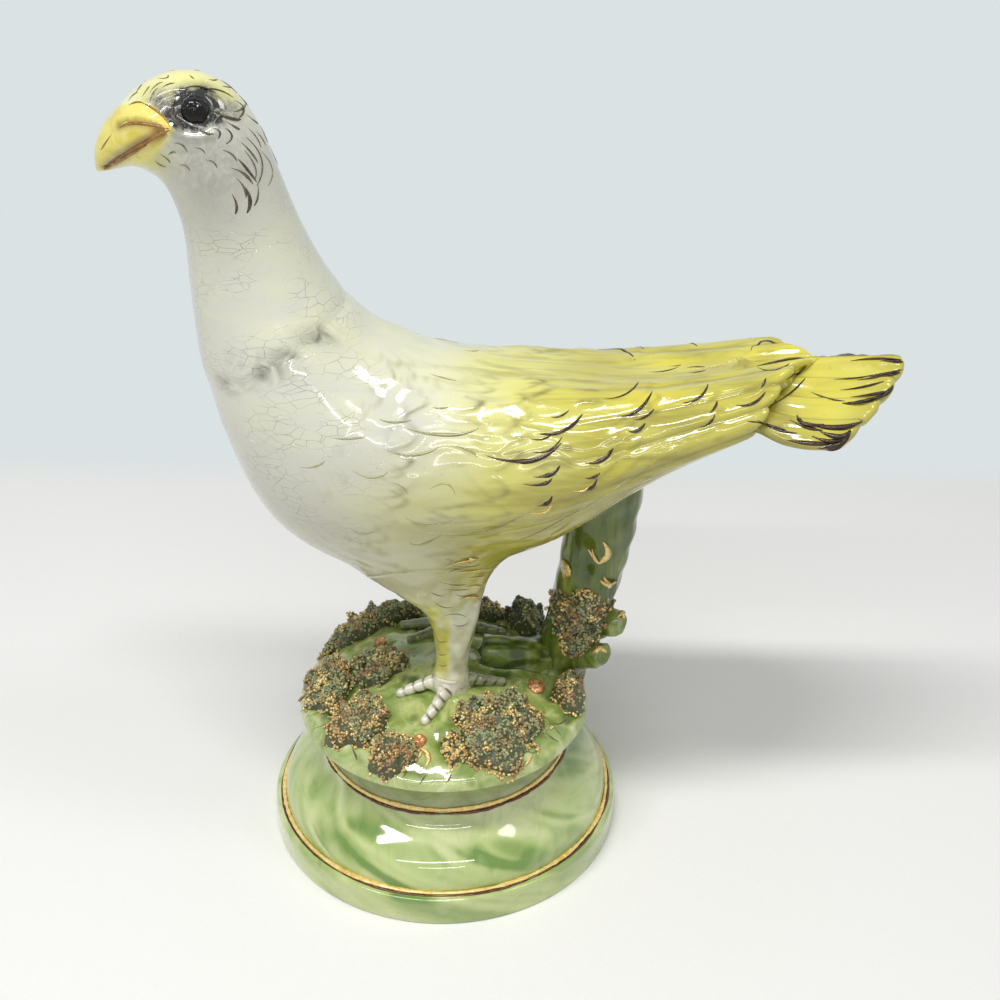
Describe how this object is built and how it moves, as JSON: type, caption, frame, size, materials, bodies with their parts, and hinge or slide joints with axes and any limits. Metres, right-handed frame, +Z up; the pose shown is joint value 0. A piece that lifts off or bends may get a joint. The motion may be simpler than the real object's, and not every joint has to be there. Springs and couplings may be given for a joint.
{
  "type": "majolica bird figurine",
  "caption": "Glazed pottery bird with a long neck, folded wings and fanned tail, standing on a mossy mound with a tree-stump prop above a round stepped plinth; a shelf ornament.",
  "frame": {"origin": "middle of the plinth's flat underside", "axes": "+Z up through the plinth's axis; the bird faces -X with its tail towards +X; its left side is -Y"},
  "size_m": [0.242, 0.1232, 0.2615],
  "materials": {
    "marbled_green_glaze": "glossy marbled pale green glaze with gilt rings",
    "grass_green_glaze": "glossy yellow-green glaze",
    "ivory_glaze": "glossy crazed ivory glaze with painted feathers",
    "lemon_glaze": "glossy lemon glaze with dark brush strokes",
    "cream_glaze": "glossy cream glaze with dark bands",
    "black_glaze": "high-gloss black glaze",
    "bark_green_glaze": "glossy streaked green glaze with gilt dabs",
    "gilt_moss": "rough clay crumb, dark glaze rubbed with gold",
    "pellet_glaze": "glossy orange glaze rubbed with gold"
  },
  "bodies": {
    "root": {"plinth_foot": "marbled_green_glaze", "mound": "grass_green_glaze", "body": "ivory_glaze", "neck_and_head": "ivory_glaze", "left_leg": "ivory_glaze", "right_leg": "ivory_glaze", "left_wing": "lemon_glaze", "right_wing": "lemon_glaze", "tail": "lemon_glaze", "left_foot": "cream_glaze", "right_foot": "cream_glaze", "left_eye": "black_glaze", "right_eye": "black_glaze", "stump": "bark_green_glaze", "upper_stub": "bark_green_glaze", "lower_stub": "bark_green_glaze", "fallen_branch": "bark_green_glaze", "moss_back_crest": "gilt_moss", "moss_left": "gilt_moss", "moss_middle": "gilt_moss", "moss_front_left": "gilt_moss", "moss_front": "gilt_moss", "moss_front_right": "gilt_moss", "moss_right": "gilt_moss", "moss_behind_stump": "gilt_moss", "moss_behind_leg": "gilt_moss", "moss_on_stump": "gilt_moss", "gold_pellet": "pellet_glaze", "orange_pellet": "pellet_glaze", "red_pellet": "pellet_glaze"}
  },
  "joints": []
}
